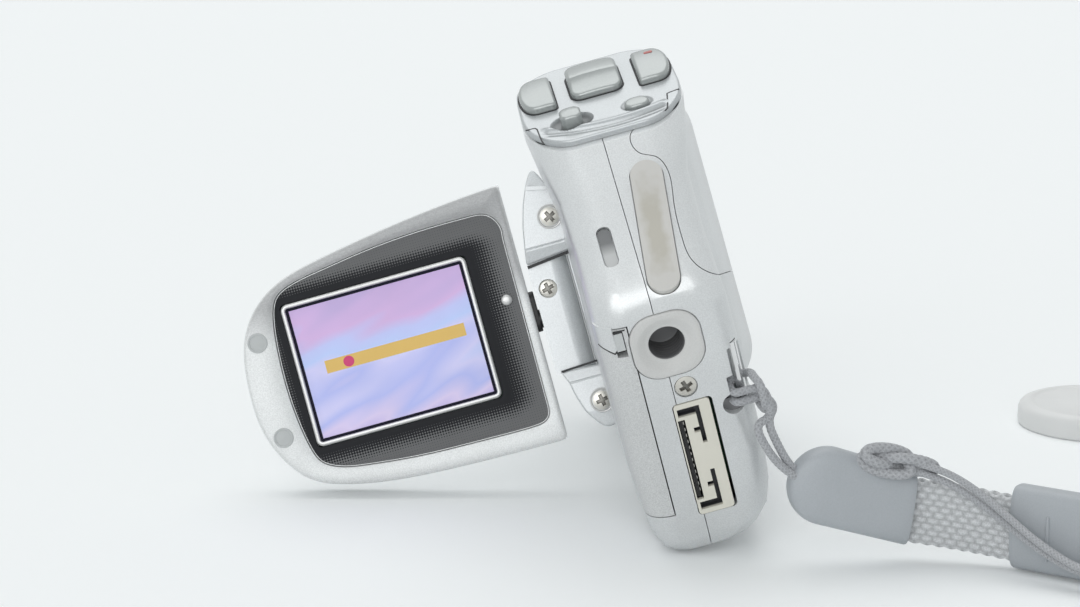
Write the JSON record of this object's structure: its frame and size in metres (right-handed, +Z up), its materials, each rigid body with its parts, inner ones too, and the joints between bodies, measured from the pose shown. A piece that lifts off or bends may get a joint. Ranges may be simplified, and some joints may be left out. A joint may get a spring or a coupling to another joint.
{
  "type": "pocket camcorder",
  "caption": "Upright pistol-grip pocket camcorder lying propped on its open flip-out screen, heel and nose, with wrist strap and tethered lens cap.",
  "frame": {"origin": "middle of the camera's footprint on the table, strap and lens cap left out", "axes": "+Z up from the table; +Y forward along the lens, which dips 12 degrees; +X to the right seen from behind, the side of the strap and cap"},
  "size_m": [0.1876, 0.1295, 0.0787],
  "materials": {
    "body_silver": "satin silver paint",
    "panel_pale": "smooth pale silver",
    "button_grey": "satin grey",
    "warm_rubber": "matt warm grey",
    "foot_rubber": "matt black",
    "smoke_window": "dark glossy window",
    "ring_silver": "satin",
    "steel": "bright zinc",
    "bar_chrome": "polished",
    "connector_cream": "ivory",
    "black_plastic": "matt black",
    "contact_gold": "gold flash",
    "circuit_green": "solder mask",
    "battery_black": "matt",
    "door_grey": "matt grey",
    "hinge_silver": "satin silver",
    "lcd_silver": "brushed silver",
    "print_grey": "printed gradient",
    "bezel_black": "gloss black",
    "display_glass": "lit picture",
    "lens_glass": "coated",
    "chassis_metal": "die cast",
    "strap_cord": "braided",
    "strap_sleeve": "smooth grey",
    "strap_webbing": "woven",
    "cap_plastic": "pale translucent grey"
  },
  "bodies": {
    "camera": {"left_shell": "body_silver", "right_shell": "body_silver", "right_side_cover": "body_silver", "control_panel": "panel_pale", "control_board": "circuit_green", "grip_pad": "warm_rubber", "indicator_window": "smoke_window", "tripod_ring": "ring_silver", "tripod_insert": "steel", "body_screw": "steel", "dock_connector_shell": "connector_cream", "dock_connector_tongue": "black_plastic", "dock_contacts": "contact_gold", "connector_board": "circuit_green", "battery": "battery_black", "battery_terminals": "black_plastic", "strap_bar": "bar_chrome", "side_feet": "foot_rubber", "speaker": "black_plastic", "hinge_cover_upper": "hinge_silver", "hinge_cover_lower": "hinge_silver", "hinge_cover_screws": "steel", "hinge_pin": "steel", "lens_ring": "ring_silver", "lens_front_glass": "lens_glass", "lens_barrel": "black_plastic", "image_sensor": "circuit_green", "flash_window": "lens_glass", "microphones": "black_plastic", "flash_capacitor": "black_plastic", "chassis_frame": "chassis_metal", "main_board": "circuit_green", "strap_knot": "strap_cord", "strap_cord": "strap_cord", "strap_sleeve": "strap_sleeve", "strap_webbing": "strap_webbing", "strap_end_sleeve": "strap_sleeve", "cap_tether": "strap_cord", "lens_cap": "cap_plastic"},
    "battery_door": {"battery_door": "door_grey"},
    "door_latch": {"door_latch": "black_plastic"},
    "photo_button": {"photo_button": "button_grey"},
    "record_button": {"record_button": "button_grey"},
    "menu_button": {"menu_button": "button_grey"},
    "zoom_rocker": {"zoom_rocker": "button_grey"},
    "joystick_gimbal": {"joystick_gimbal": "steel"},
    "joystick_cap": {"joystick_cap": "button_grey"},
    "hinge_block": {"hinge_block": "hinge_silver", "hinge_block_screw": "steel"},
    "screen_panel": {"tilt_shaft": "steel", "lcd_back_cover": "lcd_silver", "lcd_front_frame": "lcd_silver", "lcd_bumpers": "foot_rubber", "lcd_pin": "black_plastic", "lcd_print_panel": "print_grey", "lcd_screen_bezel": "bezel_black", "lcd_display": "display_glass", "lcd_board": "circuit_green"},
    "zoom_group": {"zoom_group": "lens_glass"},
    "focus_group": {"focus_group": "lens_glass"}
  },
  "joints": [
    {"name": "screen_swing", "type": "hinge", "parent": "camera", "child": "hinge_block", "pos_m": [0.00993, -0.00074, 0.0329], "axis": [-0.2672, 0.2004, 0.9426], "range_deg": [-90, 0]},
    {"name": "screen_tilt", "type": "hinge", "parent": "hinge_block", "child": "screen_panel", "pos_m": [0.00579, -0.00153, 0.02919], "axis": [0.9636, 0.0556, 0.2614], "range_deg": [0, 180]},
    {"name": "battery_door_hinge", "type": "hinge", "parent": "camera", "child": "battery_door", "pos_m": [0.01606, -0.03226, 0.02847], "axis": [0.2353, 0.2873, -0.9285], "range_deg": [0, 85]},
    {"name": "door_latch_slide", "type": "slide", "parent": "battery_door", "child": "door_latch", "axis": [0.2353, 0.2873, -0.9285], "range_m": [0, 0.0012], "stiffness_N_per_m": 60},
    {"name": "photo_button_press", "type": "slide", "parent": "camera", "child": "photo_button", "axis": [0.2256, 0.355, -0.9072], "range_m": [0, 0.0006], "stiffness_N_per_m": 500},
    {"name": "record_button_press", "type": "slide", "parent": "camera", "child": "record_button", "axis": [0.2256, 0.355, -0.9072], "range_m": [0, 0.0006], "stiffness_N_per_m": 500},
    {"name": "menu_button_press", "type": "slide", "parent": "camera", "child": "menu_button", "axis": [0.2256, 0.355, -0.9072], "range_m": [0, 0.0006], "stiffness_N_per_m": 500},
    {"name": "zoom_rocker_pivot", "type": "hinge", "parent": "camera", "child": "zoom_rocker", "pos_m": [0.01527, -0.0257, 0.07266], "axis": [0.9636, 0.0556, 0.2614], "range_deg": [-6, 6], "stiffness_Nm_per_rad": 0.02},
    {"name": "joystick_pitch", "type": "hinge", "parent": "camera", "child": "joystick_gimbal", "pos_m": [0.01179, -0.03549, 0.0673], "axis": [0.9636, 0.0556, 0.2614], "range_deg": [-8, 8], "stiffness_Nm_per_rad": 0.01},
    {"name": "joystick_roll", "type": "hinge", "parent": "joystick_gimbal", "child": "joystick_cap", "pos_m": [0.01179, -0.03549, 0.0673], "axis": [-0.1432, 0.9332, 0.3295], "range_deg": [-8, 8], "stiffness_Nm_per_rad": 0.01},
    {"name": "zoom_travel", "type": "slide", "parent": "camera", "child": "zoom_group", "axis": [0, 0.9781, -0.2079], "range_m": [-0.01, 0.008]},
    {"name": "focus_travel", "type": "slide", "parent": "camera", "child": "focus_group", "axis": [0, 0.9781, -0.2079], "range_m": [-0.002, 0.006]}
  ]
}
